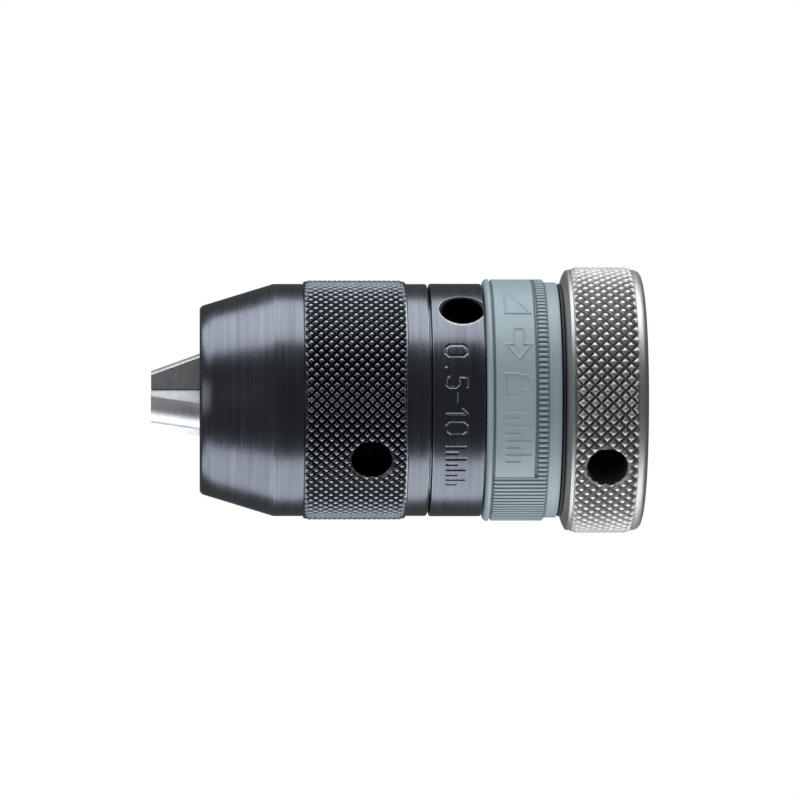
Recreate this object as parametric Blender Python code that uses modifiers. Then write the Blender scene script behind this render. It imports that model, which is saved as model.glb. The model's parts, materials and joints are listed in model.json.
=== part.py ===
"""Keyless drill chuck, 10 mm capacity, closed. Metres, +Z up, nose towards -X, axis on the X axis."""

from math import cos, pi, radians, sin, sqrt, tan

import bmesh
import bpy
from mathutils import Matrix, Vector

MM = 0.001

# Outer shape, as (radius) and stations measured from the rear face towards the nose.
RING_R = 23.9
RING_LENGTH = 14.4
RING_CHAMFER = 2.0
LOCK_R = 21.85
LOCK_FLANGE_R = 21.15
LOCK_REAR = 15.2
LOCK_STEP = 17.4
LOCK_FRONT = 28.5
COLLAR_R = 20.9
COLLAR_REAR = 28.75
PARTING = 38.3
KNURL_R = 21.5
KNURL_REAR = 42.3
KNURL_FRONT = 60.6
SLEEVE_R = 20.85
CONE_START = 66.0
NOSE_R = 16.8
NOSE = 79.2

# Jaws and the screw that drives them.
JAW_COUNT = 3
JAW_ANGLE = radians(20.0)
JAW_R = 4.0
JAW_TIP = 87.9
JAW_TIP_OFFSET = 0.95
JAW_HALF_WIDTH = 2.575
JAW_OUTER_R = 13.9
JAW_REAR = 58.5
JAW_GAP = 0.12
JAW_FIRST = -23.2
HOOK_TOP = 60.9
NECK_TOP = 64.3
NECK_HALF = 1.8
GUIDE_BORE_R = 4.25
GRIP_BORE_R = 5.3
PITCH = 2.5
SCREW_ROOT_R = 5.5
SCREW_CREST_R = 6.5
SCREW_REAR = 34.0
HEAD_REAR = 56.2
HEAD_FRONT = 64.0
HEAD_R = 16.5
SLOT_FLOOR = 58.2
SLOT_LIP = 61.2

# Body, bearing and lock.
NECK_R = 10.9
SOCKET_R = 5.7
SOCKET_DEPTH = 16.0
FLANGE_R = 15.6
FLANGE_REAR = 37.9
FLANGE_FRONT = 41.6
BALL_R = 1.6
BALL_COUNT = 12
BALL_PITCH_R = 13.45
BALL_STATION = 34.55
TOOTH_COUNT = 30
TOOTH_TIP_R = 13.5
TOOTH_ROOT_R = 12.3
TOOTH_WALL = 27.7
PAWL_PIN_R = 0.9
PAWL_PIN_OFFSET = 16.0
PAWL_REAR = 20.7
PAWL_FRONT = 24.3

# Spanner holes: station, degrees above the horizontal facing -Y, radius, floor radius.
SLEEVE_HOLE = (48.8, -30.0, 3.7, 15.0)
COLLAR_HOLE = (32.6, 50.6, 3.8, 16.5)
RING_HOLE = (7.2, -30.4, 3.75, 17.0)

OUTER_STEPS = 48
INNER_STEPS = 36
THREAD_STEPS = 16


def clear_scene():
    for item in list(bpy.data.objects):
        bpy.data.objects.remove(item, do_unlink=True)


def make_collection(name):
    made = bpy.data.collections.new(name)
    bpy.context.scene.collection.children.link(made)
    return made


def material(name, colour, metallic, roughness):
    made = bpy.data.materials.new(name)
    made.use_nodes = True
    shader = made.node_tree.nodes["Principled BSDF"]
    shader.inputs["Base Color"].default_value = (*colour, 1.0)
    shader.inputs["Metallic"].default_value = metallic
    shader.inputs["Roughness"].default_value = roughness
    made.diffuse_color = (*colour, 1.0)
    return made


def angle_of(elevation):
    """Angle about the chuck axis of a direction given by its height above -Y."""
    return radians(elevation - 90.0)


def place(item, parent, group):
    group.objects.link(item)
    item.parent = parent
    return item


def new_object(name, mesh, parent, group, finish=None):
    item = bpy.data.objects.new(name, mesh)
    if finish is not None:
        mesh.materials.append(finish)
    return place(item, parent, group)


def empty(name, parent, group):
    item = bpy.data.objects.new(name, None)
    item.empty_display_size = 0.01
    return place(item, parent, group)


def turned(name, profile, steps, parent, group, finish=None):
    """A turned piece: (radius, station) points, down the outside and back up the inside."""
    on_axis = profile[0][0] == 0.0
    mesh = bpy.data.meshes.new(name)
    points = [(r * MM, 0.0, s * MM) for r, s in profile]
    edges = [(i, i + 1) for i in range(len(points) - 1)]
    if not on_axis:
        edges.append((len(points) - 1, 0))
    mesh.from_pydata(points, edges, [])
    item = new_object(name, mesh, parent, group, finish)
    screw = item.modifiers.new("turn", "SCREW")
    screw.axis = "Z"
    screw.angle = 2.0 * pi
    screw.steps = steps
    screw.render_steps = steps
    screw.use_merge_vertices = True
    screw.merge_threshold = 0.00001
    screw.use_smooth_shade = False
    return item


def extruded(name, outline, low, high, parent, group, finish=None):
    """A flat piece: an outline in mm across the axis, between two stations."""
    mesh = bpy.data.meshes.new(name)
    work = bmesh.new()
    corners = [work.verts.new((x * MM, y * MM, low * MM)) for x, y in outline]
    face = work.faces.new(corners)
    made = bmesh.ops.extrude_face_region(work, geom=[face])
    moved = [v for v in made["geom"] if isinstance(v, bmesh.types.BMVert)]
    bmesh.ops.translate(work, verts=moved, vec=(0.0, 0.0, (high - low) * MM))
    bmesh.ops.recalc_face_normals(work, faces=work.faces)
    work.to_mesh(mesh)
    work.free()
    return new_object(name, mesh, parent, group, finish)


def boxes(name, spans, parent, group):
    """One helper mesh of several boxes, each ((x0, x1), (y0, y1), (z0, z1)) in mm."""
    mesh = bpy.data.meshes.new(name)
    work = bmesh.new()
    for (x0, x1), (y0, y1), (z0, z1) in spans:
        size = Matrix.Diagonal(((x1 - x0) * MM, (y1 - y0) * MM, (z1 - z0) * MM, 1.0))
        middle = Vector((x0 + x1, y0 + y1, z0 + z1)) * 0.5 * MM
        bmesh.ops.create_cube(work, size=1.0, matrix=Matrix.Translation(middle) @ size)
    work.to_mesh(mesh)
    work.free()
    return new_object(name, mesh, parent, group)


def rod(name, radius, start, end, steps, parent, group, finish=None):
    """A cylinder between two points in mm."""
    first = Vector(start) * MM
    last = Vector(end) * MM
    along = last - first
    turn = along.to_track_quat("Z", "Y").to_matrix().to_4x4()
    mesh = bpy.data.meshes.new(name)
    work = bmesh.new()
    bmesh.ops.create_cone(
        work,
        cap_ends=True,
        segments=steps,
        radius1=radius * MM,
        radius2=radius * MM,
        depth=along.length,
        matrix=Matrix.Translation((first + last) * 0.5) @ turn,
    )
    work.to_mesh(mesh)
    work.free()
    return new_object(name, mesh, parent, group, finish)


def combine(item, other, operation):
    made = item.modifiers.new(other.name, "BOOLEAN")
    made.operation = operation
    made.solver = "EXACT"
    made.object = other
    return made


def as_helper(item):
    item.hide_render = True
    item.display_type = "WIRE"
    return item


def radial_hole(target, hole, outer, parent, group):
    station, elevation, radius, floor = hole
    turn = angle_of(elevation)
    across = Vector((cos(turn), sin(turn), 0.0))
    start = across * floor + Vector((0.0, 0.0, station))
    end = across * (outer + 2.0) + Vector((0.0, 0.0, station))
    cutter = rod(target.name + "_hole_cut", radius, start, end, 24, parent, group)
    combine(target, as_helper(cutter), "DIFFERENCE")


def helix(name, section, low, turns, parent, group):
    """A left-hand thread body: a section of (radius, rise) points carried round the axis."""
    mesh = bpy.data.meshes.new(name)
    work = bmesh.new()
    corners = [work.verts.new((r * MM, 0.0, (low + z) * MM)) for r, z in section]
    face = work.faces.new(corners)
    work.normal_update()
    steps = int(round(turns * THREAD_STEPS))
    bmesh.ops.spin(
        work,
        geom=[face, *face.edges, *face.verts],
        cent=(0.0, 0.0, 0.0),
        axis=(0.0, 0.0, -1.0),
        dvec=(0.0, 0.0, PITCH * MM / THREAD_STEPS),
        angle=2.0 * pi * steps / THREAD_STEPS,
        steps=steps,
        use_duplicate=False,
    )
    bmesh.ops.recalc_face_normals(work, faces=work.faces)
    work.to_mesh(mesh)
    work.free()
    return new_object(name, mesh, parent, group)


def thread_section(crest_r, root_r, crest, root):
    """A trapezium standing on the root radius, sunk a little so that it joins."""
    sink = 0.35
    slope = (root - crest) / (crest_r - root_r)
    foot = root + slope * sink
    return [
        (root_r - sink, -foot / 2),
        (crest_r, -crest / 2),
        (crest_r, crest / 2),
        (root_r - sink, foot / 2),
    ]


def chuck_body(parent, parts, cutters, finish):
    profile = [
        (0.0, 18.8),
        (7.1, 18.8),
        (7.1, 27.8),
        (5.8, 28.9),
        (5.8, FLANGE_FRONT - 0.8),
        (6.6, FLANGE_FRONT),
        (FLANGE_R - 0.5, FLANGE_FRONT),
        (FLANGE_R, FLANGE_FRONT - 0.5),
        (FLANGE_R, FLANGE_REAR),
        (NECK_R, FLANGE_REAR),
        (NECK_R, 0.5),
        (NECK_R - 0.5, 0.0),
        (SOCKET_R + 0.8, 0.0),
        (SOCKET_R, 0.8),
        (SOCKET_R, SOCKET_DEPTH),
        (0.0, SOCKET_DEPTH),
    ]
    body = turned("chuck_body", profile, INNER_STEPS, parent, parts, finish)
    section = thread_section(6.8, 5.8, 0.99, 1.69)
    start = SCREW_REAR + PITCH / 2 - 4 * PITCH
    cut = helix("body_thread_cut", section, start, 8.0, parent, cutters)
    combine(body, as_helper(cut), "DIFFERENCE")


def rear_ring(parent, parts, cutters, finish):
    profile = [
        (11.15, 20.2),
        (13.6, 20.2),
        (13.6, RING_LENGTH),
        (RING_R - 2.5, RING_LENGTH),
        (RING_R, RING_LENGTH - 1.0),
        (RING_R, 1.9),
        (RING_R - 0.6, 0.6),
        (RING_R - RING_CHAMFER, 0.0),
        (11.8, 0.0),
        (11.15, 0.6),
    ]
    ring = turned("rear_ring", profile, OUTER_STEPS, parent, parts, finish)
    radial_hole(ring, RING_HOLE, RING_R, parent, cutters)


def seal_washer(parent, parts, finish):
    profile = [(14.0, 14.95), (20.9, 14.95), (20.9, 14.6), (14.0, 14.6)]
    turned("seal_washer", profile, INNER_STEPS, parent, parts, finish)


def ratchet_wheel(parent, parts, cutters, finish):
    outline = []
    for tooth in range(TOOTH_COUNT):
        wall = TOOTH_WALL + tooth * 360.0 / TOOTH_COUNT
        for radius, turn in ((TOOTH_ROOT_R, wall), (TOOTH_TIP_R, wall), (TOOTH_ROOT_R, wall + 6.5)):
            outline.append((radius * cos(radians(turn)), radius * sin(radians(turn))))
    wheel = extruded("ratchet_wheel", outline, 20.5, 24.6, parent, parts, finish)
    bore = rod("ratchet_bore_cut", 11.2, (0, 0, 19), (0, 0, 26), INNER_STEPS, parent, cutters)
    combine(wheel, as_helper(bore), "DIFFERENCE")


def race(name, inner, outer, low, high, parent, parts, finish):
    """A bearing race with a shallow chamfer on each outer edge."""
    profile = [(inner, high), (outer - 0.2, high), (outer, high - 0.2), (outer, low), (inner, low)]
    turned(name, profile, INNER_STEPS, parent, parts, finish)


def ball_cage(parent, parts, cutters, finish):
    profile = [(11.25, 35.2), (15.65, 35.2), (15.65, 33.9), (11.25, 33.9)]
    cage = turned("ball_cage", profile, INNER_STEPS, parent, parts, finish)
    mesh = bpy.data.meshes.new("cage_holes_cut")
    work = bmesh.new()
    for index in range(BALL_COUNT):
        turn = 2.0 * pi * index / BALL_COUNT
        where = Vector((BALL_PITCH_R * cos(turn), BALL_PITCH_R * sin(turn), BALL_STATION)) * MM
        bmesh.ops.create_cone(
            work,
            cap_ends=True,
            segments=12,
            radius1=1.9 * MM,
            radius2=1.9 * MM,
            depth=4.0 * MM,
            matrix=Matrix.Translation(where),
        )
    work.to_mesh(mesh)
    work.free()
    holes = new_object("cage_holes_cut", mesh, parent, cutters)
    combine(cage, as_helper(holes), "DIFFERENCE")


def bearing_balls(parent, parts, finish):
    for index in range(BALL_COUNT):
        turn = 2.0 * pi * index / BALL_COUNT
        mesh = bpy.data.meshes.new(f"ball_{index + 1:02d}")
        work = bmesh.new()
        bmesh.ops.create_icosphere(work, subdivisions=2, radius=BALL_R * MM)
        work.to_mesh(mesh)
        work.free()
        ball = new_object(mesh.name, mesh, parent, parts, finish)
        where = Vector((BALL_PITCH_R * cos(turn), BALL_PITCH_R * sin(turn), BALL_STATION))
        ball.location = where * MM


def grip_sleeve(parent, parts, cutters, finish):
    profile = [
        (14.76, NOSE),
        (NOSE_R - 0.4, NOSE),
        (NOSE_R, NOSE - 0.4),
        (SLEEVE_R, CONE_START),
        (SLEEVE_R, KNURL_FRONT + 0.3),
        (KNURL_R, KNURL_FRONT - 0.3),
        (KNURL_R, KNURL_REAR + 0.3),
        (SLEEVE_R, KNURL_REAR - 0.2),
        (SLEEVE_R, PARTING + 0.4),
        (SLEEVE_R - 0.3, PARTING + 0.15),
        (19.3, PARTING + 0.15),
        (19.3, 64.4),
        (18.75, 64.4),
        (18.75, 66.2),
    ]
    sleeve = turned("grip_sleeve", profile, OUTER_STEPS, parent, parts, finish)
    radial_hole(sleeve, SLEEVE_HOLE, KNURL_R, parent, cutters)


def jaw_line(turn, station):
    """Point on a jaw's own axis at a station, in mm."""
    offset = JAW_TIP_OFFSET + (JAW_TIP - station) * tan(JAW_ANGLE)
    return (offset * cos(turn), offset * sin(turn), station)


def jaw_turns():
    return [angle_of(JAW_FIRST + index * 360.0 / JAW_COUNT) for index in range(JAW_COUNT)]


def jaw_guide(parent, parts, cutters, finish):
    slope = (SLEEVE_R - NOSE_R) / (NOSE - CONE_START)
    profile = [
        (GRIP_BORE_R, NOSE - 0.3),
        (18.45 - (NOSE - 0.3 - 66.2) * slope, NOSE - 0.3),
        (18.45, 66.2),
        (18.45, 64.6),
        (GRIP_BORE_R, 64.6),
    ]
    guide = turned("jaw_guide", profile, OUTER_STEPS, parent, parts, finish)
    for index, turn in enumerate(jaw_turns()):
        name = f"guide_bore_cut_{index + 1}"
        ends = (jaw_line(turn, 60.0), jaw_line(turn, 86.0))
        bore = rod(name, GUIDE_BORE_R, *ends, 24, parent, cutters)
        combine(guide, as_helper(bore), "DIFFERENCE")


def jaw(index, turn, parent, parts, cutters, finish):
    frame = empty(f"jaw_{index}_frame", parent, parts)
    frame.rotation_euler = (0.0, 0.0, turn)
    frame.location = (0.0, 0.0, 0.0)
    piece = rod(
        f"jaw_{index}", JAW_R, jaw_line(0.0, 54.0), jaw_line(0.0, 92.0), 32, frame, parts, finish
    )
    shell = [(0.0, JAW_TIP), (JAW_OUTER_R, JAW_TIP), (JAW_OUTER_R, JAW_REAR), (0.0, JAW_REAR)]
    keep = turned(f"jaw_{index}_shell_cut", shell, OUTER_STEPS, frame, cutters)
    combine(piece, as_helper(keep), "INTERSECT")
    apex = JAW_GAP / sin(pi / 3)
    wedge = [(apex, 0.0), (apex + 24.0, -24.0 * sqrt(3.0)), (apex + 24.0, 24.0 * sqrt(3.0))]
    prism = extruded(f"jaw_{index}_wedge_cut", wedge, 40.0, 95.0, frame, cutters)
    combine(piece, as_helper(prism), "INTERSECT")
    spans = [
        ((-6, 20), (JAW_HALF_WIDTH, 9), (70.0, 92.0)),
        ((-6, 20), (-9, -JAW_HALF_WIDTH), (70.0, 92.0)),
        ((-6, 20), (NECK_HALF, 9), (HOOK_TOP, NECK_TOP)),
        ((-6, 20), (-9, -NECK_HALF), (HOOK_TOP, NECK_TOP)),
        ((-6, 20), (3.3, 9), (50.0, HOOK_TOP + 0.2)),
        ((-6, 20), (-9, -3.3), (50.0, HOOK_TOP + 0.2)),
    ]
    flats = boxes(f"jaw_{index}_flats_cut", spans[:2], frame, cutters)
    combine(piece, as_helper(flats), "DIFFERENCE")
    notch = boxes(f"jaw_{index}_neck_cut", spans[2:4], frame, cutters)
    combine(piece, as_helper(notch), "DIFFERENCE")
    hook = boxes(f"jaw_{index}_hook_cut", spans[4:], frame, cutters)
    combine(piece, as_helper(hook), "DIFFERENCE")
    move_origin(piece, Vector(jaw_line(0.0, JAW_TIP)) * MM)


def move_origin(item, where):
    """Puts an object's origin on its joint line without moving its shape."""
    item.data.transform(Matrix.Translation(-where))
    item.location = where


def drive_screw(parent, parts, cutters, finish):
    profile = [
        (0.0, SLOT_LIP),
        (GRIP_BORE_R, SLOT_LIP),
        (GRIP_BORE_R, HEAD_FRONT - 0.5),
        (GRIP_BORE_R + 0.5, HEAD_FRONT),
        (HEAD_R - 0.6, HEAD_FRONT),
        (HEAD_R, HEAD_FRONT - 0.6),
        (HEAD_R, HEAD_REAR + 0.6),
        (HEAD_R - 0.6, HEAD_REAR),
        (SCREW_ROOT_R, HEAD_REAR),
        (SCREW_ROOT_R, SCREW_REAR + 0.6),
        (SCREW_ROOT_R - 0.6, SCREW_REAR),
        (0.0, SCREW_REAR),
    ]
    screw = turned("drive_screw", profile, INNER_STEPS, parent, parts, finish)
    section = thread_section(SCREW_CREST_R, SCREW_ROOT_R, 0.7, 1.4)
    ridge = helix("screw_thread_join", section, SCREW_REAR + PITCH / 2, 7.5, parent, cutters)
    combine(screw, as_helper(ridge), "UNION")
    for index, turn in enumerate(jaw_turns()):
        spans = [((6.2, 20), (-3.6, 3.6), (SLOT_FLOOR, SLOT_LIP)), ((4.6, 20), (-2.1, 2.1), (60.0, 66.0))]
        wide = boxes(f"screw_slot_{index + 1}_cut", spans[:1], parent, cutters)
        wide.rotation_euler = (0.0, 0.0, turn)
        combine(screw, as_helper(wide), "DIFFERENCE")
        narrow = boxes(f"screw_neck_{index + 1}_cut", spans[1:], parent, cutters)
        narrow.rotation_euler = (0.0, 0.0, turn)
        combine(screw, as_helper(narrow), "DIFFERENCE")


def bearing_collar(parent, parts, cutters, finish):
    profile = [
        (16.0, 42.1),
        (18.7, 42.1),
        (19.0, 41.8),
        (19.0, PARTING - 0.15),
        (COLLAR_R - 0.3, PARTING - 0.15),
        (COLLAR_R, PARTING - 0.4),
        (COLLAR_R, COLLAR_REAR + 0.2),
        (COLLAR_R - 0.2, COLLAR_REAR),
        (18.6, COLLAR_REAR),
        (18.6, 27.3),
        (18.0, 27.3),
        (18.0, 26.1),
        (18.6, 26.1),
        (18.6, 25.3),
        (18.3, 25.0),
        (11.3, 25.0),
        (11.3, 31.1),
        (16.0, 31.1),
    ]
    collar = turned("bearing_collar", profile, OUTER_STEPS, parent, parts, finish)
    radial_hole(collar, COLLAR_HOLE, COLLAR_R, parent, cutters)
    pocket = boxes("detent_pocket_cut", [((-20.0, -16.8), (-3.4, 3.4), (26.1, 27.3))], parent, cutters)
    combine(collar, as_helper(pocket), "DIFFERENCE")
    start = (PAWL_PIN_OFFSET, 0.0, 24.0)
    socket = rod("pawl_pin_socket_cut", 1.2, start, (PAWL_PIN_OFFSET, 0.0, 28.2), 16, parent, cutters)
    combine(collar, as_helper(socket), "DIFFERENCE")


def pawl_pin(parent, parts, finish):
    low = (PAWL_PIN_OFFSET, 0.0, 18.0)
    high = (PAWL_PIN_OFFSET, 0.0, 27.9)
    rod("pawl_pin", PAWL_PIN_R, low, high, 16, parent, parts, finish)


def pawl(parent, parts, cutters, finish):
    """The lever that drops its nose into the ratchet wheel. Its origin is on its pin."""
    hub = []
    for index in range(5):
        turn = radians(150.0 + 15.0 * index)
        hub.append((PAWL_PIN_OFFSET + 1.9 * cos(turn), 1.9 * sin(turn)))
    outline = [
        (12.44, 6.2),
        (14.55, 6.95),
        (16.3, 6.7),
        (17.5, 1.6),
        (17.75, 0.0),
        (17.75, -1.6),
        (17.25, -4.9),
        (16.9, -5.3),
        (16.4, -5.1),
        (15.6, -2.0),
        *reversed(hub),
        (14.45, 3.5),
        (12.84, 5.39),
    ]
    lever = extruded("pawl", outline, PAWL_REAR, PAWL_FRONT, parent, parts, finish)
    bore = rod("pawl_bore_cut", 1.2, (16.0, 0, 19.0), (16.0, 0, 26.0), 16, parent, cutters)
    combine(lever, as_helper(bore), "DIFFERENCE")
    move_origin(lever, Vector((PAWL_PIN_OFFSET, 0.0, 22.5)) * MM)


def pawl_spring(parent, parts, finish):
    """A torsion spring on the rear end of the pin, one leg along the pawl."""
    curve = bpy.data.curves.new("pawl_spring", "CURVE")
    curve.dimensions = "3D"
    curve.bevel_depth = 0.2 * MM
    curve.bevel_resolution = 1
    curve.use_fill_caps = True
    curve.resolution_u = 1
    points = [(14.6, 5.4, 20.3)]
    turns = 3
    steps = 10
    for index in range(turns * steps + 1):
        turn = 2.0 * pi * index / steps
        points.append(
            (PAWL_PIN_OFFSET - 1.45 * cos(turn), 1.45 * sin(turn), 20.25 - 0.6 * index / steps)
        )
    points.append((17.2, -4.4, 18.4))
    line = curve.splines.new("POLY")
    line.points.add(len(points) - 1)
    for spot, (x, y, z) in zip(line.points, points):
        spot.co = (x * MM, y * MM, z * MM, 1.0)
    curve.materials.append(finish)
    place(bpy.data.objects.new("pawl_spring", curve), parent, parts)


def detent_spring(parent, parts, finish):
    """A bent leaf in the collar's groove whose crest clicks into the lock ring."""
    crest = [(-17.05, -3.0), (-17.5, -1.5), (-18.45, 0.0), (-17.5, 1.5), (-17.05, 3.0)]
    inner = [(x + 0.25, y) for x, y in reversed(crest)]
    inner[2] = (inner[2][0] + 0.08, 0.0)
    extruded("detent_spring", crest + inner, 26.35, 27.05, parent, parts, finish)


def lock_ring(parent, parts, cutters, finish):
    profile = [
        (18.9, LOCK_FRONT),
        (LOCK_R - 0.8, LOCK_FRONT),
        (LOCK_R - 0.2, LOCK_FRONT - 0.3),
        (LOCK_R, LOCK_FRONT - 1.0),
        (LOCK_R, LOCK_STEP + 0.3),
        (LOCK_FLANGE_R, LOCK_STEP),
        (LOCK_FLANGE_R, LOCK_REAR),
        (15.2, LOCK_REAR),
        (15.2, 17.2),
        (19.2, 17.2),
        (19.2, 24.8),
        (18.9, 24.8),
        (18.9, 26.4),
        (18.3, 26.4),
        (18.3, 27.0),
        (18.9, 27.0),
    ]
    ring = turned("lock_ring", profile, OUTER_STEPS, parent, parts, finish)
    lug = boxes("lock_lug_join", [((18.2, 20.0), (-1.3, 1.3), (20.6, 24.0))], parent, cutters)
    lug.rotation_euler = (0.0, 0.0, radians(-16.0))
    combine(ring, as_helper(lug), "UNION")
    spans = [((-18.85, -17.5), (-1.3, 1.3), (26.2, 27.2))]
    for name, turn in (("lock_notch_open_cut", 0.0), ("lock_notch_shut_cut", -25.0)):
        notch = boxes(name, spans, parent, cutters)
        notch.rotation_euler = (0.0, 0.0, radians(turn))
        combine(ring, as_helper(notch), "DIFFERENCE")


def main():
    clear_scene()
    parts = make_collection("drill_chuck")
    cutters = make_collection("cutters")
    axis = empty("chuck_axis", None, parts)
    axis.rotation_euler = (0.0, radians(-90.0), 0.0)
    black = material("black_oxide_steel", (0.035, 0.036, 0.042), 0.9, 0.34)
    bright = material("bright_steel", (0.62, 0.60, 0.57), 1.0, 0.30)
    ground = material("ground_tool_steel", (0.72, 0.72, 0.73), 1.0, 0.22)
    plain = material("machined_steel", (0.48, 0.48, 0.49), 1.0, 0.35)
    plastic = material("blue_grey_plastic", (0.36, 0.46, 0.49), 0.0, 0.45)
    brass = material("cage_brass", (0.60, 0.44, 0.20), 1.0, 0.35)
    rubber = material("seal_rubber", (0.012, 0.012, 0.013), 0.0, 0.7)
    spring = material("spring_steel", (0.40, 0.41, 0.43), 1.0, 0.30)

    chuck_body(axis, parts, cutters, plain)
    rear_ring(axis, parts, cutters, bright)
    seal_washer(axis, parts, rubber)
    ratchet_wheel(axis, parts, cutters, plain)
    race("front_race", 11.3, 15.3, 36.3, 37.6, axis, parts, ground)
    race("rear_race", 11.5, 15.5, 31.4, 32.8, axis, parts, ground)
    ball_cage(axis, parts, cutters, brass)
    bearing_balls(axis, parts, ground)
    grip_sleeve(axis, parts, cutters, black)
    jaw_guide(axis, parts, cutters, plain)
    for index, turn in enumerate(jaw_turns()):
        jaw(index + 1, turn, axis, parts, cutters, ground)
    drive_screw(axis, parts, cutters, plain)
    bearing_collar(axis, parts, cutters, black)
    pawl_pin(axis, parts, plain)
    pawl(axis, parts, cutters, plain)
    pawl_spring(axis, parts, spring)
    detent_spring(axis, parts, spring)
    lock_ring(axis, parts, cutters, plastic)


main()
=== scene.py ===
"""Looks of the keyless drill chuck: knurls, ribs, marks, threads, materials, light and camera.

Stations are millimetres from the chuck's rear face towards its nose, so x = -station.
Elevations are degrees above the horizontal direction that faces the camera.
"""

import json
from math import cos, pi, radians, sin, tan

import bmesh
import bpy
import numpy as np
from mathutils import Matrix, Vector


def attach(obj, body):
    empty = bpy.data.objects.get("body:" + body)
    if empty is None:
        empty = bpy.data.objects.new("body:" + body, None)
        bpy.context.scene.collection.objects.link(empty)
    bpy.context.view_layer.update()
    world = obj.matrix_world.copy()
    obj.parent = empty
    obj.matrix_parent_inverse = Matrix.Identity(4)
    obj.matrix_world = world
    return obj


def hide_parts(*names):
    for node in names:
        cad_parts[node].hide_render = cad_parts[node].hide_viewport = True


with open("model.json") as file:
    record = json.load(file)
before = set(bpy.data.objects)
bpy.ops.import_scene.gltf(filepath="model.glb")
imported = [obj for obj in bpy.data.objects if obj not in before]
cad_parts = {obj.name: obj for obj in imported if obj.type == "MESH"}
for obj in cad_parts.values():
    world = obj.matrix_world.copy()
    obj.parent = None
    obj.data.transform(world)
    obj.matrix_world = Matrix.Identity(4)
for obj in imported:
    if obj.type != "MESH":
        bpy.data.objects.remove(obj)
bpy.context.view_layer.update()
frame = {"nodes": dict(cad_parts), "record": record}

MM = 0.001

# The relief attribute, which the materials read: 0 at a hole's floor, GROOVE at the foot of a knurl, PLAIN on
# a smooth face,
# WEAR_AND_SHEEN along an edge and 1 on the tip of a knurl. Low levels paint shade in grooves and holes, and
# high levels paint a bright colour that is partly rubbed metal and partly a painted highlight.
GROOVE = 0.12
PLAIN = 0.65
WEAR_AND_SHEEN = 0.97

# Mesh work, in mm: edges sharper than SHARP stay sharp, WELD joins a Boolean's slivers, and SINK is how
# far a spanner hole's countersink reaches in.
SHARP = radians(32.0)
WELD = 0.0005
SINK = 0.5

# Outer radii and the nose's station, in mm.
KNURL_R = 21.5
SLEEVE_R = 20.85
COLLAR_R = 20.9
RING_R = 23.9
NOSE_R = 16.8
NOSE = 79.2
CONE_SLOPE = 0.3068

# Knurls and ribs: how many there are round the piece, and the grid points that each one takes.
PER_DIAMOND = 8
SLEEVE_DIAMONDS = 76
RING_DIAMONDS = 71
RIB_COUNT = 140

# Relief in mm: how high knurls, ribs and raised marks stand, and how deep the collar's marks are cut.
SLEEVE_KNURL = 0.5
RING_KNURL = 0.62
RIB_HEIGHT = 0.5
PANEL_HEIGHT = 0.46
LIP_HEIGHT = 0.55
MARK_HEIGHT = 0.17
MARK_DEPTH = 0.16

# The lock ring's raised panel, in degrees: its lower edge and its span. It is repeated half a turn away.
PANEL_LOW = -39.8
PANEL_SPAN = 130.0

# Threads: the spindle's is 20 to the inch, and the drive screw's groove starts where the screw's ridge does.
SPINDLE_PITCH = 1.27
SPINDLE_DEPTH = 0.62
DRIVE_PITCH = 2.5
DRIVE_START = 34.0 + DRIVE_PITCH / 2
SOCKET_R = 5.7
DRIVE_R = 5.8

# Jaws.
JAW_TILT = radians(20.0)
JAW_R = 4.0
JAW_TIP = 87.9
JAW_TIP_OFFSET = 0.95
JAW_HALF_WIDTH = 2.575
JAW_GAP = 0.12
JAW_NECK_HALF = 1.8
JAW_HOOK_HALF = 3.3
JAW_ELEVATIONS = (-23.2, 96.8, 216.8)
JAW_OUTER_R = 13.9
JAW_REAR = 58.5
GUIDE_BORE_R = 4.25


def angle_of(elevation):
    """The turn round the axis that spot takes, for an elevation in degrees."""
    return radians(elevation - 90.0)


def spot(radius, angle, station):
    """A place in the row frame, in metres."""
    return Vector((-station, radius * sin(angle), radius * cos(angle))) * MM


# ---------------------------------------------------------------- materials


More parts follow.
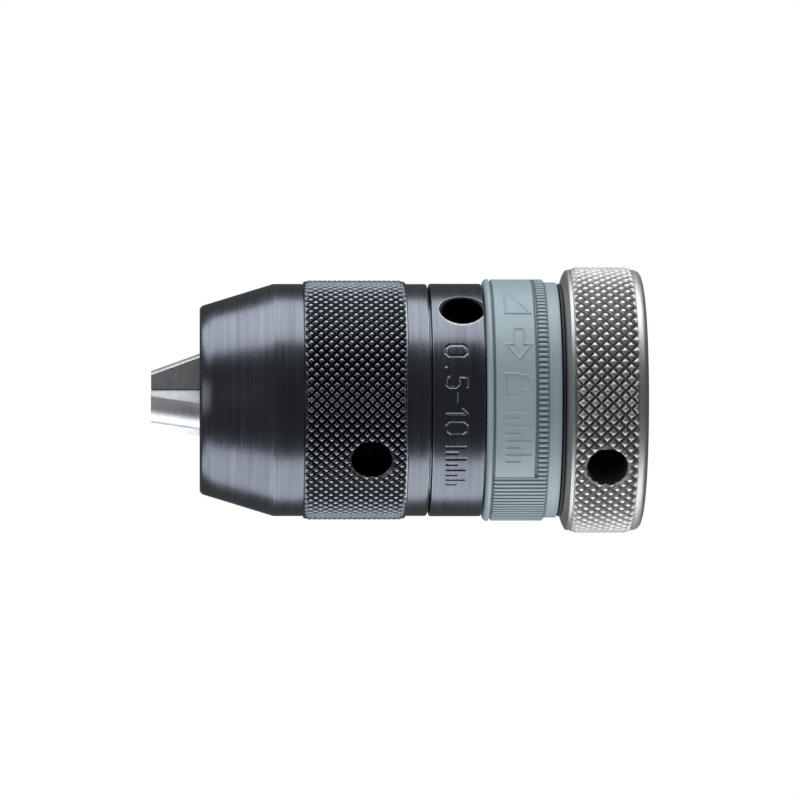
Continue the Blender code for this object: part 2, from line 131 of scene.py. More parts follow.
class Shader:
    """A node material with one Principled shader and short names for what feeds it."""

    def __init__(self, name):
        self.material = bpy.data.materials.new(name)
        self.material.use_nodes = True
        self.tree = self.material.node_tree
        self.surface = self.tree.nodes["Principled BSDF"]
        coords = self.tree.nodes.new("ShaderNodeTexCoord")
        self.coords = coords.outputs["Object"]

    def set(self, **values):
        for key, value in values.items():
            self.surface.inputs[key.replace("_", " ")].default_value = value

    def node(self, kind, **settings):
        made = self.tree.nodes.new(kind)
        for key, value in settings.items():
            setattr(made, key, value)
        return made

    def feed(self, node, socket, value):
        if isinstance(value, bpy.types.NodeSocket):
            self.tree.links.new(value, node.inputs[socket])
        else:
            node.inputs[socket].default_value = value
        return node

    def stretched(self, x, y, z):
        made = self.node("ShaderNodeMapping")
        self.feed(made, "Vector", self.coords)
        made.inputs["Scale"].default_value = (x, y, z)
        return made.outputs["Vector"]

    def lathe(self, drift):
        """Coordinates that hold still round the chuck's axis, so noise on them reads as turning marks.

        They are (station, distance from the axis), with a little of the plain place mixed in so that no
        ring is quite even. They give rings on faces across the axis as well as lines round it.
        """
        apart = self.node("ShaderNodeSeparateXYZ")
        self.feed(apart, "Vector", self.coords)
        away = self.node("ShaderNodeVectorMath", operation="LENGTH")
        self.feed(away, 0, self.stretched(0.0, 1.0, 1.0))
        joined = self.node("ShaderNodeCombineXYZ")
        self.feed(joined, "X", apart.outputs["X"])
        self.feed(joined, "Y", away.outputs["Value"])
        total = self.node("ShaderNodeVectorMath", operation="ADD")
        self.feed(total, 0, joined.outputs["Vector"])
        self.feed(total, 1, self.stretched(drift, drift, drift))
        return total.outputs["Vector"]

    def noise(self, vector, scale, detail=3.0):
        made = self.node("ShaderNodeTexNoise")
        self.feed(made, "Vector", vector)
        made.inputs["Scale"].default_value = scale
        made.inputs["Detail"].default_value = detail
        return made.outputs["Fac"]

    def ranged(self, value, low, high, to_low, to_high):
        made = self.node("ShaderNodeMapRange")
        self.feed(made, "Value", value)
        made.inputs["From Min"].default_value = low
        made.inputs["From Max"].default_value = high
        made.inputs["To Min"].default_value = to_low
        made.inputs["To Max"].default_value = to_high
        return made.outputs["Result"]

    def math(self, operation, first, second):
        made = self.node("ShaderNodeMath", operation=operation)
        self.feed(made, 0, first)
        self.feed(made, 1, second)
        return made.outputs[0]

    def mix(self, fac, first, second):
        made = self.node("ShaderNodeMix", data_type="RGBA")
        self.feed(made, 0, fac)
        for socket, value in ((6, first), (7, second)):
            if isinstance(value, tuple):
                value = (*value, 1.0)
            self.feed(made, socket, value)
        return made.outputs[2]

    def attribute(self, name):
        return self.node("ShaderNodeAttribute", attribute_name=name).outputs["Fac"]

    def bump(self, height, strength, distance):
        made = self.node("ShaderNodeBump")
        self.feed(made, "Height", height)
        made.inputs["Strength"].default_value = strength
        made.inputs["Distance"].default_value = distance
        self.tree.links.new(made.outputs["Normal"], self.surface.inputs["Normal"])

    def link(self, value, socket):
        self.tree.links.new(value, self.surface.inputs[socket])


def turned_steel(name, low, high, roughness, lines=0.35, hollow_shade=None, wear_and_sheen=None):
    """Lathe-turned metal: fine rings across the axis, faint blotches, painted shade in knurl grooves and
    holes, and a bright colour on edges and knurl tips that is partly rubbed metal and partly a painted
    highlight.
    """
    made = Shader(name)
    rings = made.noise(made.lathe(0.012), 5200.0, 2.0)
    broad = made.noise(made.lathe(0.03), 900.0, 2.0)
    blotch = made.noise(made.coords, 180.0, 4.0)
    tone = made.math("ADD", made.math("MULTIPLY", broad, 0.8), made.math("MULTIPLY", blotch, 0.2))
    colour = made.mix(made.ranged(tone, 0.32, 0.68, 0.0, 1.0), low, high)
    if hollow_shade is not None:
        # Painted shade: knurl grooves take the hollow colour, and hole floors take a much darker copy of it.
        relief = made.attribute("relief")
        deep = made.ranged(relief, GROOVE, 0.55, 1.0, 0.0)
        colour = made.mix(deep, colour, hollow_shade)
        bore = made.ranged(relief, 0.0, 0.5 * GROOVE, 1.0, 0.0)
        colour = made.mix(bore, colour, tuple(0.18 * part for part in hollow_shade))
        if wear_and_sheen is not None:
            # Edges, knurl tips and the floors of cut marks take the bright colour: rubbed metal and bare cut
            # marks, and on edges and tips partly a painted highlight.
            speck = made.noise(made.coords, 2600.0, 2.0)
            wear_and_sheen_level = made.ranged(relief, 0.78, 1.0, 0.0, 1.0)
            tips = made.math("MULTIPLY", wear_and_sheen_level, made.ranged(speck, 0.35, 0.6, 0.3, 1.0))
            colour = made.mix(tips, colour, wear_and_sheen)
    made.link(colour, "Base Color")
    grain = made.math("ADD", made.math("MULTIPLY", rings, 0.8), made.math("MULTIPLY", blotch, 0.2))
    made.link(made.ranged(grain, 0.3, 0.7, roughness * 0.82, roughness * 1.22), "Roughness")
    made.set(Metallic=1.0)
    made.bump(rings, lines, 0.00002)
    return made.material


def moulded_plastic(name, low, high):
    made = Shader(name)
    fine = made.noise(made.coords, 2400.0, 3.0)
    broad = made.noise(made.coords, 120.0, 3.0)
    colour = made.mix(made.ranged(broad, 0.3, 0.7, 0.0, 1.0), low, high)
    # Painted shade: the moulding is darker where the relief level is low, between the ribs.
    rib_shade = made.ranged(made.attribute("relief"), 0.3, 0.75, 0.85, 0.0)
    colour = made.mix(rib_shade, colour, tuple(0.45 * c for c in low))
    made.link(colour, "Base Color")
    made.link(made.ranged(fine, 0.3, 0.7, 0.38, 0.52), "Roughness")
    made.set(IOR=1.5)
    made.bump(fine, 0.25, 0.00003)
    return made.material


def seal_rubber(name):
    made = Shader(name)
    grain = made.noise(made.coords, 3000.0, 4.0)
    made.link(made.mix(grain, (0.006, 0.006, 0.007), (0.02, 0.02, 0.021)), "Base Color")
    made.link(made.ranged(grain, 0.3, 0.7, 0.6, 0.85), "Roughness")
    made.bump(grain, 0.4, 0.00005)
    return made.material


# ---------------------------------------------------------------- relief


def ramp(value, low, high):
    """Smooth step from 0 at low to 1 at high."""
    t = np.clip((value - low) / (high - low), 0.0, 1.0)
    return t * t * (3.0 - 2.0 * t)


def knurl(rows, columns, sharpness):
    """Height 0 to 1 of diamonds at 45 degrees, on a grid with PER_DIAMOND points a side."""
    i = np.arange(rows)[:, None]
    j = np.arange(columns)[None, :]
    across = 1.0 - np.abs(2.0 * (((i + j) / PER_DIAMOND) % 1.0) - 1.0)
    along = 1.0 - np.abs(2.0 * (((j - i) / PER_DIAMOND) % 1.0) - 1.0)
    height = np.minimum(across, along)
    return np.sin(0.5 * pi * np.clip(height * 1.12, 0.0, 1.0)) ** sharpness


# Numerals only: the object carries no lettering.
STROKES = {
    "0": [[(0.9, 0), (0, 1), (0, 5), (0.9, 6), (2.6, 6), (3.5, 5), (3.5, 1), (2.6, 0), (0.9, 0)]],
    "1": [[(0.6, 4.6), (2, 6), (2, 0)]],
    "5": [[(3.3, 6), (0.5, 6), (0.2, 3.4), (2.5, 3.7), (3.5, 2.7), (3.5, 1), (2.6, 0), (0.9, 0), (0, 0.8)]],
    "-": [[(0.6, 3), (3, 3)]],
    ".": [[(1.6, 0), (2.0, 0)]],
}


def numeral_segments(digits, start, base, height, advance):
    """Stroke segments of a row of numerals: ends in (distance along the row, height up it), in mm."""
    unit = height / 6.0
    found = []
    for index, digit in enumerate(digits):
        for stroke in STROKES[digit]:
            points = [(start + index * advance + x * unit, base + y * unit) for x, y in stroke]
            found += list(zip(points, points[1:]))
    return found


def path_segments(points, closed=True):
    ends = points[1:] + points[:1] if closed else points[1:]
    return list(zip(points, ends))


def tick_segments(start, step, count, base, height):
    """Plain graduation ticks, every other one shorter."""
    found = []
    for index in range(count):
        length = height if index % 2 == 0 else 0.55 * height
        where = start + index * step
        found.append(((where, base), (where, base + length)))
    return found


def arrow_outline(tail, tip, middle, half):
    """Outline of a block arrow that points along the row."""
    neck = tip - 1.35 * half
    shaft = 0.42 * half
    return [
        (tail, middle - shaft), (neck, middle - shaft), (neck, middle - half), (tip, middle),
        (neck, middle + half), (neck, middle + shaft), (tail, middle + shaft),
    ]


def open_padlock(middle, base):
    """Segments of a plain open padlock: a box under a shackle that is free at one side."""
    half, height, reach = 2.1, 2.5, 1.35
    top = base + height
    box = [(middle - half, base), (middle + half, base), (middle + half, top), (middle - half, top)]
    crown = top + 0.9
    bow = [(middle - 0.5 + reach * cos(pi * k / 10), crown + reach * sin(pi * k / 10)) for k in range(11)]
    leg = [(middle - 0.5 - reach, top)]
    return path_segments(box) + path_segments(bow + leg, closed=False)


def distance_to(segments, u, v):
    """Distance of each grid point from the nearest segment, in mm."""
    best = np.full(u.shape, 99.0)
    for (x0, y0), (x1, y1) in segments:
        dx, dy = x1 - x0, y1 - y0
        t = np.clip(((u - x0) * dx + (v - y0) * dy) / max(dx * dx + dy * dy, 1e-9), 0.0, 1.0)
        best = np.minimum(best, np.hypot(u - x0 - t * dx, v - y0 - t * dy))
    return best


# ---------------------------------------------------------------- lathe


def grid_piece(name, rows, columns, reliefs=()):
    """A closed turned piece from (radius, station) rows. A relief is (first row, heights, depth) in mm.

    A row may carry a third value, its relief level, such as WEAR_AND_SHEEN along an edge, whose bright colour
    is partly rubbed metal and partly a painted highlight.
    """
    radius = np.repeat(np.array([row[0] for row in rows], float)[:, None], columns, 1)
    station = np.array([row[1] for row in rows], float)[:, None]
    level = np.full_like(radius, PLAIN)
    for index, row in enumerate(rows):
        if len(row) == 3:
            level[index] = row[2]
    for first, heights, depth in reliefs:
        count = heights.shape[0]
        radius[first : first + count] += heights * depth
        # Raised relief falls to GROOVE at its foot, where the steel paints shade; cut marks rise towards the
        # bright level.
        raised = GROOVE + (1.0 - GROOVE) * heights
        sunk = PLAIN + 0.3 * heights
        level[first : first + count] = raised if depth > 0 else sunk
    angle = 2.0 * pi * np.arange(columns)[None, :] / columns
    points = np.stack(
        [-station + 0.0 * radius, radius * np.sin(angle), radius * np.cos(angle)], axis=-1
    ).reshape(-1, 3)
    points *= MM
    count = len(rows)
    i = np.arange(count)[:, None]
    j = np.arange(columns)[None, :]
    down, right = (i + 1) % count, (j + 1) % columns
    a = i * columns + j
    b = i * columns + right
    c = down * columns + right
    d = down * columns + j
    a, b, c, d = (np.broadcast_to(m, (count, columns)).ravel() for m in (a, b, c, d))
    flat = radius.ravel()
    first_way = np.abs(flat[a] - flat[c]) <= np.abs(flat[b] - flat[d])
    one = np.where(first_way[:, None], np.stack([a, c, b], 1), np.stack([a, d, b], 1))
    two = np.where(first_way[:, None], np.stack([a, d, c], 1), np.stack([b, d, c], 1))
    faces = np.concatenate([one, two])
    corner = points[faces]
    if np.einsum("ij,ij->i", corner[:, 0], np.cross(corner[:, 1], corner[:, 2])).sum() < 0:
        faces = faces[:, ::-1]
    mesh = bpy.data.meshes.new(name)
    mesh.vertices.add(len(points))
    mesh.vertices.foreach_set("co", points.ravel().astype(np.float32))
    mesh.loops.add(faces.size)
    mesh.loops.foreach_set("vertex_index", faces.ravel().astype(np.int32))
    mesh.polygons.add(len(faces))
    mesh.polygons.foreach_set("loop_start", np.arange(0, faces.size, 3, dtype=np.int32))
    mesh.update(calc_edges=True)
    mesh.validate()
    marks = mesh.attributes.new("relief", "FLOAT", "POINT")
    marks.data.foreach_set("value", level.ravel().astype(np.float32))
    piece = bpy.data.objects.new(name, mesh)
    bpy.context.scene.collection.objects.link(piece)
    return piece


def spaced(first, last, step):
    """Stations from first to last, about step apart."""
    count = max(1, int(round(abs(last - first) / step)))
    return [first + (last - first) * k / count for k in range(count + 1)]


def rod_mesh(name, radius, start, end, segments, radius_end=None):
    """A helper cylinder or cone between two places in metres."""
    along = end - start
    turn = along.to_track_quat("Z", "Y").to_matrix().to_4x4()
    mesh = bpy.data.meshes.new(name)
    work = bmesh.new()
    bmesh.ops.create_cone(
        work,
        cap_ends=True,
        segments=segments,
        radius1=radius * MM,
        radius2=(radius if radius_end is None else radius_end) * MM,
        depth=along.length,
        matrix=Matrix.Translation((start + end) * 0.5) @ turn,
    )
    work.to_mesh(mesh)
    work.free()
    made = bpy.data.objects.new(name, mesh)
    bpy.context.scene.collection.objects.link(made)
    return made


def weld(mesh):
    """Joins the slivers that a Boolean leaves, so that the piece stays one closed solid."""
    work = bmesh.new()
    work.from_mesh(mesh)
    bmesh.ops.remove_doubles(work, verts=work.verts, dist=WELD * MM)
    bmesh.ops.dissolve_degenerate(work, dist=WELD * MM, edges=work.edges)
    work.to_mesh(mesh)
    work.free()


def cut(piece, cutter, operation="DIFFERENCE"):
    """Applies a Boolean to the piece's mesh and removes the cutter."""
    made = piece.modifiers.new("cut", "BOOLEAN")
    made.operation = operation
    made.solver = "EXACT"
    made.object = cutter
    graph = bpy.context.evaluated_depsgraph_get()
    result = bpy.data.meshes.new_from_object(piece.evaluated_get(graph))
    piece.modifiers.clear()
    old = piece.data
    piece.data = result
    weld(result)
    bpy.data.meshes.remove(old)
    bpy.data.objects.remove(cutter, do_unlink=True)


def grade_hole(piece, foot, way, radius, floor, outer):
    """Relief level in a hole, for painted shade: none at its floor, more up its wall, and a bright level
    round its mouth that is partly rubbed metal and partly a painted highlight.
    """
    mesh = piece.data
    places = np.empty(len(mesh.vertices) * 3, np.float32)
    mesh.vertices.foreach_get("co", places)
    places = (places.reshape(-1, 3) - np.array(foot)) / MM
    height = places @ np.array(way)
    off_axis = np.linalg.norm(places - height[:, None] * np.array(way), axis=1)
    depth = (height - floor) / (outer - floor)
    levels = mesh.attributes["relief"].data
    relief = np.empty(len(levels), np.float32)
    levels.foreach_get("value", relief)
    wall = (depth > -0.02) & (off_axis < radius + 0.03)
    edge = (depth > 0.8) & (off_axis >= radius + 0.03) & (off_axis < radius + SINK + 0.1)
    relief[wall] = np.interp(depth[wall], (0.0, 1.0), (0.0, PLAIN))
    relief[edge] = WEAR_AND_SHEEN
    levels.foreach_set("value", relief)


def spanner_hole(piece, station, elevation, radius, floor, outer):
    """A radial hole with a small countersink round its mouth."""
    angle = angle_of(elevation)
    low = spot(floor, angle, station)
    cut(piece, rod_mesh("bore", radius, low, spot(outer + 3.0, angle, station), 96))
    mouth = spot(outer - SINK - 0.6, angle, station)
    rim = spot(outer - SINK + 1.4, angle, station)
    cut(piece, rod_mesh("sink", radius - 0.6, mouth, rim, 96, radius + 1.4))
    # The relief level paints shade down the hole and a bright rim round its mouth, partly rubbed metal and
    # partly a painted highlight.
    foot = spot(0.0, angle, station)
    grade_hole(piece, foot, (low - foot).normalized(), radius, floor, outer)


def finish_piece(piece, material, body, slot, *nodes):
    """Shades the piece, lets it stand for its CAD nodes and ties it to its body."""
    piece.data.materials.clear()
    piece.data.materials.append(material)
    piece.data.shade_smooth()
    piece.data.set_sharp_from_angle(angle=SHARP)
    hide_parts(*nodes)
    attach(piece, body)


# ---------------------------------------------------------------- pieces


def make_sleeve(material):
    columns = SLEEVE_DIAMONDS * PER_DIAMOND
    step = 2.0 * pi * KNURL_R / columns
    knurl_rows = spaced(60.35, 42.75, step)
    front = [(14.8, 79.05), (14.95, NOSE), (16.3, NOSE), (16.55, 79.1, WEAR_AND_SHEEN), (16.74, 78.9, WEAR_AND_SHEEN)]
    cone = [(NOSE_R + (NOSE - s) * CONE_SLOPE, s) for s in spaced(78.7, 66.25, 2.0)]
    smooth = [
        (20.82, 66.08), (20.83, 66.0, WEAR_AND_SHEEN), (SLEEVE_R, 65.9), (SLEEVE_R, 63.0),
        (SLEEVE_R, 60.95), (20.8, 60.75), (21.15, 60.6, WEAR_AND_SHEEN), (21.25, 60.5, WEAR_AND_SHEEN),
    ]
    base = [(20.98, s) for s in knurl_rows]
    rear = [(21.25, 42.6, WEAR_AND_SHEEN), (21.2, 42.45, WEAR_AND_SHEEN), (SLEEVE_R, 42.25), (SLEEVE_R, 42.0)]
    band = [
        (SLEEVE_R, 41.0), (SLEEVE_R, 38.85), (20.8, 38.68, WEAR_AND_SHEEN), (20.62, 38.5, WEAR_AND_SHEEN),
        (20.3, 38.45), (19.3, 38.45),
    ]
    inside = [(19.3, 48.0), (19.3, 57.0), (19.3, 64.4), (18.75, 64.4), (18.75, 66.2)]
    rows = front + cone + smooth + base + rear + band + inside
    heights = knurl(len(base), columns, 0.9)
    ends = np.minimum(np.arange(len(base)), np.arange(len(base))[::-1])[:, None]
    heights = heights * np.clip(0.45 + ends / 5.0, 0.0, 1.0) + 0.15 * (ends < 2)
    first = len(front + cone + smooth)
    piece = grid_piece("grip_sleeve_knurled", rows, columns, [(first, np.clip(heights, 0, 1), SLEEVE_KNURL)])
    spanner_hole(piece, station=48.8, elevation=-30.0, radius=3.6, floor=15.0, outer=KNURL_R)
    finish_piece(piece, material, "sleeve", "black_oxide_steel", "grip_sleeve")


def ring_elevations(columns):
    """Elevation of each grid column of a turned piece, in degrees."""
    return np.degrees(2.0 * pi * np.arange(columns) / columns) + 90.0


def make_collar(material):
    columns = 1200
    mark_rows = spaced(37.6, 31.0, 0.12)
    front = [
        (16.0, 42.1), (18.7, 42.1), (19.0, 41.8), (19.0, 38.15),
        (20.3, 38.15), (20.62, 38.12, WEAR_AND_SHEEN), (20.84, 37.98, WEAR_AND_SHEEN), (COLLAR_R, 37.82),
    ]
    base = [(COLLAR_R, s) for s in mark_rows]
    rear = [
        (COLLAR_R, 30.0), (COLLAR_R, 29.0), (20.8, 28.82, WEAR_AND_SHEEN), (20.6, 28.75, WEAR_AND_SHEEN),
        (18.6, 28.75), (18.6, 27.3), (18.0, 27.3),
    ]
    inner = [(18.0, 26.1), (18.6, 26.1), (18.6, 25.3), (18.3, 25.0), (11.3, 25.0), (11.3, 31.1), (16.0, 31.1)]
    rows = front + base + rear + inner
    elevation = (ring_elevations(columns) + 180.0) % 360.0 - 180.0
    u = (-radians(1.0) * COLLAR_R) * elevation[None, :] + 0.0 * np.array(mark_rows)[:, None]
    v = 37.0 - np.array(mark_rows)[:, None] + 0.0 * u
    strokes = numeral_segments("0.5-10", start=-10.1, base=1.3, height=3.7, advance=2.85)
    strokes += tick_segments(start=8.6, step=1.15, count=8, base=1.5, height=3.2)
    depth = 1.0 - ramp(distance_to(strokes, u, v), 0.06, 0.32)
    piece = grid_piece("bearing_collar_marked", rows, columns, [(len(front), depth, -MARK_DEPTH)])
    spanner_hole(piece, station=32.6, elevation=50.6, radius=3.65, floor=16.5, outer=COLLAR_R)
    cut(piece, block("spring_pocket", 0.0, (-20.0, -3.4, 26.12), (-16.8, 3.4, 27.28)))
    cut(piece, rod_mesh("pin_socket", 1.2, spot(16.0, 0.0, 24.0), spot(16.0, 0.0, 28.2), 48))
    finish_piece(piece, material, "sleeve", "black_oxide_steel", "bearing_collar")


def make_lock_ring(material):
    columns = RIB_COUNT * PER_DIAMOND
    stations = spaced(27.7, 17.45, 0.16)
    front = [(18.9, 28.5), (20.7, 28.5), (21.1, 28.45), (21.45, 28.3), (21.68, 28.05), (21.76, 27.85)]
    base = [(21.2, s) for s in stations]
    rear = [(21.15, 17.3), (21.15, 16.2), (21.15, 15.45), (21.05, 15.28), (20.85, 15.2), (15.2, 15.2)]
    inside = [
        (15.2, 17.2), (19.2, 17.2), (19.2, 24.8), (18.9, 24.8),
        (18.9, 26.4), (18.3, 26.4), (18.3, 27.0), (18.9, 27.0),
    ]
    rows = front + base + rear + inside
    s = np.array(stations)[:, None]
    elevation = ring_elevations(columns)[None, :]
    turn = (elevation - PANEL_LOW) % 180.0
    from_edge = np.minimum(turn, PANEL_SPAN - turn)
    phase = (np.arange(columns)[None, :] / PER_DIAMOND) % 1.0
    rib = ramp(1.0 - np.abs(2.0 * phase - 1.0), 0.25, 0.55)
    long_ribs = RIB_HEIGHT * rib * ramp(s, 17.45, 17.9) * ramp(-s, -27.25, -26.95)
    short = RIB_HEIGHT * rib * ramp(s, 17.45, 17.9) * ramp(-s, -19.5, -19.25)
    panel_shape = ramp(from_edge, 0.0, 0.5) * ramp(s, 19.75, 20.0) * ramp(-s, -27.1, -26.9)
    panel = ramp(from_edge, -0.2, 0.1)
    height = long_ribs * (1.0 - panel) + panel * (short + PANEL_HEIGHT * panel_shape)
    lip = LIP_HEIGHT * ramp(s, 27.25, 27.5)
    height = np.maximum(height, lip)
    u = -radians(1.0) * 21.8 * (((elevation + 90.0) % 180.0) - 90.0) + 0.0 * s
    v = 28.0 - s + 0.0 * u
    lines = path_segments(arrow_outline(tail=-13.6, tip=-7.4, middle=5.2, half=2.2))
    lines += open_padlock(middle=-2.6, base=2.6)
    lines += tick_segments(start=2.2, step=1.35, count=8, base=3.0, height=4.2)
    lines += path_segments([(-23.6, 3.0), (-17.2, 3.0), (-17.2, 7.4)])
    outline = 1.0 - ramp(distance_to(lines, u, v), 0.09, 0.24)
    height = height + MARK_HEIGHT * outline * panel * panel_shape
    piece = grid_piece("lock_ring_ribbed", rows, columns, [(len(front), height, 1.0)])
    # Relief level for the moulding: low between the ribs, where the plastic paints shade, and full off the
    # ribbed band.
    marks = piece.data.attributes["relief"]
    level = np.ones(len(rows) * columns, np.float32)
    start = len(front) * columns
    level[start : start + height.size] = np.clip(0.3 + 1.2 * height, 0.0, 1.0).ravel()
    marks.data.foreach_set("value", level)
    cut(piece, block("lug", radians(-16.0), (18.2, -1.3, 20.6), (20.0, 1.3, 24.0)), "UNION")
    for notch in (0.0, -25.0):
        cut(piece, block("notch", radians(notch), (-18.85, -1.3, 26.2), (-17.5, 1.3, 27.2)))
    finish_piece(piece, material, "lock", "blue_grey_plastic", "lock_ring")


def make_rear_ring(material):
    columns = RING_DIAMONDS * PER_DIAMOND
    step = 2.0 * pi * RING_R / columns
    knurl_rows = spaced(12.75, 1.85, step)
    front = [
        (11.15, 20.2), (13.4, 20.2), (13.6, 20.0), (13.6, 14.4),
        (21.2, 14.4), (21.5, 14.3), (22.6, 13.95), (23.3, 13.55),
    ]
    lip = [(23.42, 13.3), (23.42, 13.0), (23.3, 12.85)]
    base = [(23.25, s) for s in knurl_rows]
    rear = [
        (23.35, 1.7), (23.42, 1.5), (23.35, 1.1), (23.1, 0.6), (22.6, 0.2),
        (21.9, 0.0), (16.0, 0.0), (11.8, 0.0), (11.15, 0.6),
    ]
    rows = front + lip + base + rear
    heights = knurl(len(base), columns, 1.0)
    ends = np.minimum(np.arange(len(base)), np.arange(len(base))[::-1])[:, None]
    heights = heights * np.clip(0.35 + ends / 5.0, 0.0, 1.0)
    first = len(front + lip)
    piece = grid_piece("rear_ring_knurled", rows, columns, [(first, heights, RING_KNURL)])
    spanner_hole(piece, station=7.2, elevation=-30.4, radius=3.65, floor=17.0, outer=RING_R)
    finish_piece(piece, material, "body", "bright_steel", "rear_ring")


def groove(stations, angle, pitch, start, hand, half_floor, half_mouth):
    """Depth 0 to 1 of a thread groove cut from a bore.

    hand is 1 for a right-hand thread and -1 for a left-hand one.
    """
    turns = (stations - start) / pitch - hand * angle / (2.0 * pi)
    from_middle = pitch * np.abs(turns - np.round(turns))
    return np.clip((half_mouth - from_middle) / (half_mouth - half_floor), 0.0, 1.0)


def make_body(material):
    """The core: right-hand spindle thread at the rear, the drive screw's left-hand thread at the front."""
    columns = 144
    angle = 2.0 * pi * np.arange(columns)[None, :] / columns
    socket = spaced(1.2, 15.6, 0.12)
    drive = spaced(27.8, 41.6, 0.11)
    outer = [(7.0, 41.6), (15.1, 41.6), (15.6, 41.1), (15.6, 37.9), (10.9, 37.9), (10.9, 0.5), (10.4, 0.0)]
    mouth = [(6.5, 0.0), (SOCKET_R, 0.8)]
    web = [(SOCKET_R, 16.0), (0.001, 16.0), (0.001, 18.8), (7.1, 18.8), (7.1, 27.6)]
    rear_cone = (7.1 - DRIVE_R) / (28.9 - 27.8)
    bore = [DRIVE_R + max(0.0, s - 40.8, rear_cone * (28.9 - s)) for s in drive]
    rows = outer + mouth + [(SOCKET_R, s) for s in socket] + web + list(zip(bore, drive))
    spindle = groove(np.array(socket)[:, None], angle, SPINDLE_PITCH, 0.0, 1, 0.08, 0.55)
    screw = groove(np.array(drive)[:, None], angle, DRIVE_PITCH, DRIVE_START, -1, 0.495, 0.845)
    screw = np.maximum(0.0, DRIVE_R + screw - np.array(bore)[:, None])
    first = len(outer + mouth)
    second = first + len(socket) + len(web)
    reliefs = [(first, spindle, SPINDLE_DEPTH), (second, screw, 1.0)]
    piece = grid_piece("chuck_body_threaded", rows, columns, reliefs)
    finish_piece(piece, material, "body", "machined_steel", "chuck_body")


def jaw_line(angle, station):
    """The place on a jaw's own slanted axis at a station."""
    offset = JAW_TIP_OFFSET + (JAW_TIP - station) * tan(JAW_TILT)
    return spot(offset, angle, station)


def make_guide(material):
    rows = [(5.3, 78.7), (5.5, 78.9), (14.35, 78.9), (14.6, 78.7), (18.45, 66.2), (18.45, 64.6), (5.3, 64.6)]
    piece = grid_piece("jaw_guide_bored", rows, 192)
    for elevation in JAW_ELEVATIONS:
        angle = angle_of(elevation)
        cut(piece, rod_mesh("bore", GUIDE_BORE_R, jaw_line(angle, 60.0), jaw_line(angle, 86.0), 96))
    finish_piece(piece, material, "sleeve", "machined_steel", "jaw_guide")


def block(name, angle, low, high):
    """A helper box turned to an angle round the axis: radial, sideways and station limits in mm."""
    mesh = bpy.data.meshes.new(name)
    work = bmesh.new()
    made = bmesh.ops.create_cube(work, size=1.0)["verts"]
    for vert in made:
        picked = [high[k] if vert.co[k] > 0 else low[k] for k in range(3)]
        radial, side, station = picked
        y = radial * sin(angle) + side * cos(angle)
        z = radial * cos(angle) - side * sin(angle)
        vert.co = Vector((-station, y, z)) * MM
    bmesh.ops.recalc_face_normals(work, faces=work.faces)
    work.to_mesh(mesh)
    work.free()
    item = bpy.data.objects.new(name, mesh)
    bpy.context.scene.collection.objects.link(item)
    return item


def make_jaw(index, elevation, material):
    angle = angle_of(elevation)
    piece = rod_mesh(f"jaw_{index}_ground", JAW_R, jaw_line(angle, 54.0), jaw_line(angle, 92.0), 128)
    shell = rod_mesh("shell", JAW_OUTER_R, spot(0.0, 0.0, JAW_REAR), spot(0.0, 0.0, JAW_TIP), 192)
    cut(piece, shell, "INTERSECT")
    clear = 9.0
    for side in (-1.0, 1.0):
        turned = angle + side * radians(60.0)
        away = -side * JAW_GAP
        low = (-30.0, min(away, side * 30.0), 40.0)
        high = (30.0, max(away, side * 30.0), 95.0)
        cut(piece, block("wedge", turned, low, high))
        flat = sorted((side * JAW_HALF_WIDTH, side * clear))
        cut(piece, block("flat", angle, (-6, flat[0], 70.0), (20, flat[1], 92.0)))
        neck = sorted((side * JAW_NECK_HALF, side * clear))
        cut(piece, block("neck", angle, (-6, neck[0], 60.9), (20, neck[1], 64.3)))
        hook = sorted((side * JAW_HOOK_HALF, side * clear))
        cut(piece, block("hook", angle, (-6, hook[0], 50.0), (20, hook[1], 61.1)))
    bevel = piece.modifiers.new("edges", "BEVEL")
    bevel.width = 0.12 * MM
    bevel.segments = 2
    bevel.limit_method = "ANGLE"
    bevel.angle_limit = radians(35.0)
    body = "jaw_" + "abc"[index - 1]
    finish_piece(piece, material, body, "ground_tool_steel", f"jaw_{index}")


# ---------------------------------------------------------------- studio


def area_light(name, where, aim, size, size_y, power, colour=(1.0, 1.0, 1.0)):
    """A soft box at one place that points at another. The camera does not see it."""
    data = bpy.data.lights.new(name, "AREA")
    data.shape = "RECTANGLE"
    data.size = size
    data.size_y = size_y
    data.energy = power
    data.color = colour
    made = bpy.data.objects.new(name, data)
    made.location = where
    made.rotation_mode = "QUATERNION"
    made.rotation_quaternion = (Vector(aim) - Vector(where)).to_track_quat("-Z", "Y")
    made.visible_camera = False
    bpy.context.scene.collection.objects.link(made)
    return made


def make_floor():
    mesh = bpy.data.meshes.new("floor")
    half, level = 1.2, -0.45
    corners = [(-half, -half, level), (half, -half, level), (half, half, level), (-half, half, level)]
    mesh.from_pydata(corners, [], [(0, 1, 2, 3)])
    floor = bpy.data.objects.new("floor", mesh)
    bpy.context.scene.collection.objects.link(floor)
    paper = Shader("pale_paper")
    mottle = paper.noise(paper.coords, 40.0)
    paper.link(paper.mix(mottle, (0.84, 0.84, 0.84), (0.88, 0.88, 0.88)), "Base Color")
    paper.set(Roughness=0.9)
    mesh.materials.append(paper.material)
    floor.visible_glossy = False


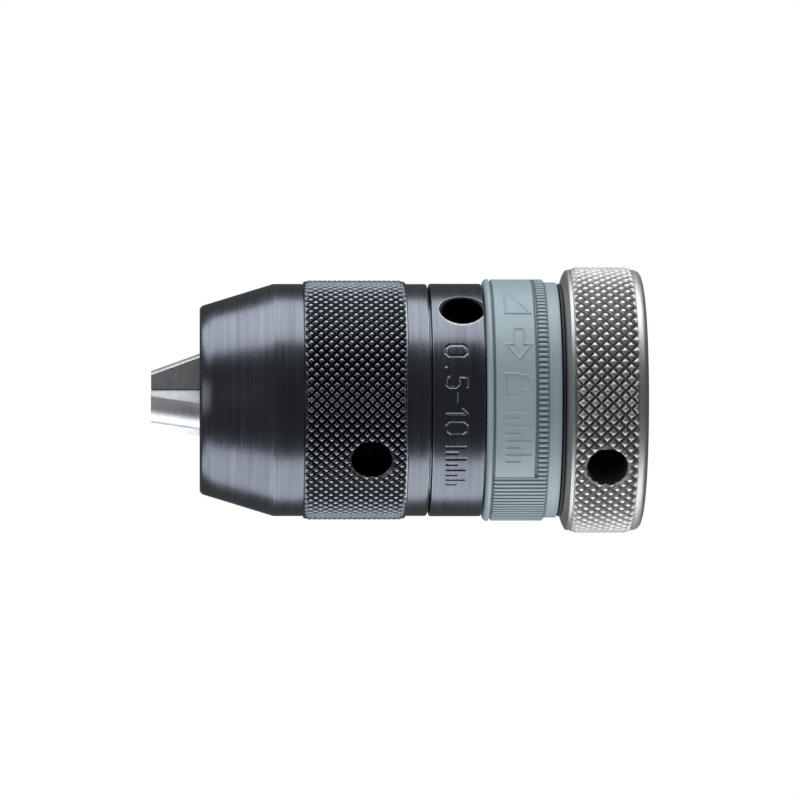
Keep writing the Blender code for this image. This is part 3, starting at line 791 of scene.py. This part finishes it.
def make_world():
    """White to the camera, soft to matt surfaces and dark to reflections, so that black steel stays black."""
    world = bpy.data.worlds.new("studio")
    world.use_nodes = True
    bpy.context.scene.world = world
    tree = world.node_tree
    tree.nodes.clear()
    path = tree.nodes.new("ShaderNodeLightPath")
    shader = world_shade(tree, (0.9, 0.95, 1.0), 0.12)
    for ray, colour, strength in (
        ("Is Diffuse Ray", (0.97, 0.98, 1.0), 0.75),
        ("Is Camera Ray", (1.0, 1.0, 1.0), 1.0),
    ):
        blend = tree.nodes.new("ShaderNodeMixShader")
        tree.links.new(path.outputs[ray], blend.inputs["Fac"])
        tree.links.new(shader, blend.inputs[1])
        tree.links.new(world_shade(tree, colour, strength), blend.inputs[2])
        shader = blend.outputs[0]
    output = tree.nodes.new("ShaderNodeOutputWorld")
    tree.links.new(shader, output.inputs["Surface"])


def world_shade(tree, colour, strength):
    shade = tree.nodes.new("ShaderNodeBackground")
    shade.inputs["Color"].default_value = (*colour, 1.0)
    shade.inputs["Strength"].default_value = strength
    return shade.outputs[0]


def make_studio():
    make_world()
    make_floor()
    cool = (0.93, 0.97, 1.0)
    area_light("top_softbox", (-0.05, -0.02, 0.40), (-0.05, 0.0, 0.0), 0.9, 0.42, 3.9, cool)
    area_light("low_softbox", (-0.05, -0.02, -0.40), (-0.05, 0.0, 0.0), 0.9, 0.42, 3.3, cool)
    front = area_light("front_fill", (-0.05, -0.9, 0.1), (-0.05, 0.0, 0.0), 0.6, 0.6, 1.5)
    front.visible_glossy = False
    area_light("nose_side", (-0.75, -0.45, 0.05), (-0.05, 0.0, 0.0), 0.35, 0.35, 0.5)


def make_camera():
    data = bpy.data.cameras.new("camera")
    data.lens = 263.0
    data.sensor_width = 36.0
    data.clip_start = 0.05
    data.clip_end = 10.0
    camera = bpy.data.objects.new("camera", data)
    camera.location = (-0.0792, -1.05, 0.0)
    aim = Vector((-0.0432, 0.0, 0.0))
    camera.rotation_mode = "QUATERNION"
    camera.rotation_quaternion = (aim - camera.location).to_track_quat("-Z", "Y")
    bpy.context.scene.collection.objects.link(camera)
    bpy.context.scene.camera = camera


def main():
    # Each steel's hollow colour is painted shade in knurl grooves and holes; its bright colour is partly
    # rubbed metal and partly a painted highlight.
    black = turned_steel(
        "blackened_turned_steel", (0.092, 0.099, 0.116), (0.126, 0.134, 0.154), 0.27,
        hollow_shade=(0.020, 0.020, 0.023), wear_and_sheen=(0.27, 0.275, 0.29),
    )
    bright = turned_steel(
        "bright_knurled_steel", (0.385, 0.375, 0.37), (0.485, 0.475, 0.468), 0.46,
        hollow_shade=(0.16, 0.15, 0.14), wear_and_sheen=(0.60, 0.58, 0.55),
    )
    ground = turned_steel("ground_jaw_steel", (0.49, 0.49, 0.50), (0.62, 0.62, 0.63), 0.42, lines=0.15)
    machined = turned_steel("machined_core_steel", (0.30, 0.30, 0.31), (0.42, 0.42, 0.43), 0.32)
    wire = turned_steel("drawn_spring_wire", (0.30, 0.31, 0.33), (0.44, 0.45, 0.47), 0.25)
    brass = turned_steel("stamped_cage_brass", (0.50, 0.34, 0.12), (0.66, 0.48, 0.22), 0.33)
    plastic = moulded_plastic("blue_grey_moulding", (0.150, 0.196, 0.214), (0.172, 0.219, 0.238))
    rubber = seal_rubber("black_seal_rubber")

    make_sleeve(black)
    make_collar(black)
    make_lock_ring(plastic)
    make_rear_ring(bright)
    make_body(machined)
    make_guide(machined)
    for index, elevation in enumerate(JAW_ELEVATIONS):
        make_jaw(index + 1, elevation, ground)

    looks = {
        "machined_steel": machined,
        "ground_tool_steel": ground,
        "spring_steel": wire,
        "cage_brass": brass,
        "seal_rubber": rubber,
        "black_oxide_steel": black,
        "blue_grey_plastic": plastic,
        "bright_steel": bright,
    }
    for part in frame["record"]["subparts"]:
        frame["nodes"][part["node"]].material_slots[0].material = looks[part["material_slot"]]

    make_studio()
    make_camera()
    bpy.context.scene.view_settings.view_transform = "Standard"


main()
